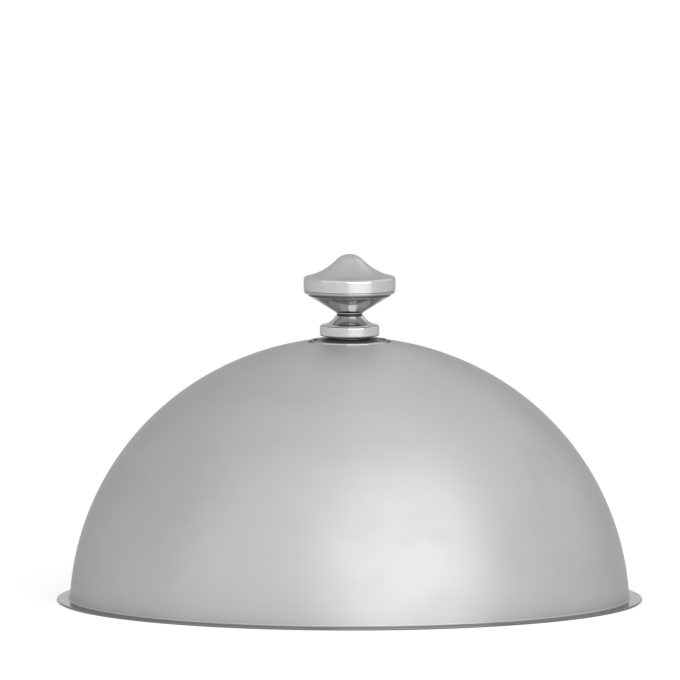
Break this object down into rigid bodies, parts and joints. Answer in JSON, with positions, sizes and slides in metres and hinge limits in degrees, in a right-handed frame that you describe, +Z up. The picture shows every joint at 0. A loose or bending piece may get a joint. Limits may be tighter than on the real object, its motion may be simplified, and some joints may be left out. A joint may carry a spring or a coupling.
{
  "type": "food cover dome",
  "caption": "Round food cover: a tall satin steel dome with a narrow hemmed flange and a turned knob that screws on at its top.",
  "frame": {"origin": "centre of the circle on which the flange's hem rests", "axes": "+Z up along the dome's axis, towards the knob; +X to the right as pictured, +Y away from the camera"},
  "size_m": [0.3, 0.3, 0.1781],
  "materials": {
    "dome_steel": "satin drawn stainless steel, finely spun round its axis",
    "knob_steel": "polished stainless steel with fine turning lines",
    "polished_steel": "mirror-polished stainless steel",
    "fastener_steel": "plain bright steel",
    "neck_fibre": "black hard fibre",
    "gasket_silicone": "translucent white silicone"
  },
  "bodies": {
    "cover": {"dome_shell": "dome_steel", "crown_gasket": "gasket_silicone", "rosette": "polished_steel", "foot": "polished_steel", "collar": "knob_steel", "pedestal": "knob_steel", "fixing_screw": "fastener_steel", "lock_washer": "fastener_steel", "backing_washer": "fastener_steel"},
    "friction_washer": {"neck_washer": "neck_fibre"},
    "knob_head": {"knob_bowl": "knob_steel", "threaded_bush": "fastener_steel", "knob_crown": "knob_steel"}
  },
  "joints": [
    {"name": "knob_turn", "type": "hinge", "parent": "cover", "child": "friction_washer", "pos_m": [0, 0, 0.148], "axis": [0, 0, 1], "range_deg": [0, 4320]},
    {"name": "knob_rise", "type": "slide", "parent": "friction_washer", "child": "knob_head", "axis": [0, 0, 1], "range_m": [0, 0.0121]}
  ],
  "couplings": [
    {"joint": "knob_rise", "follows": "knob_turn", "m_per_rad": 0.00015915}
  ]
}
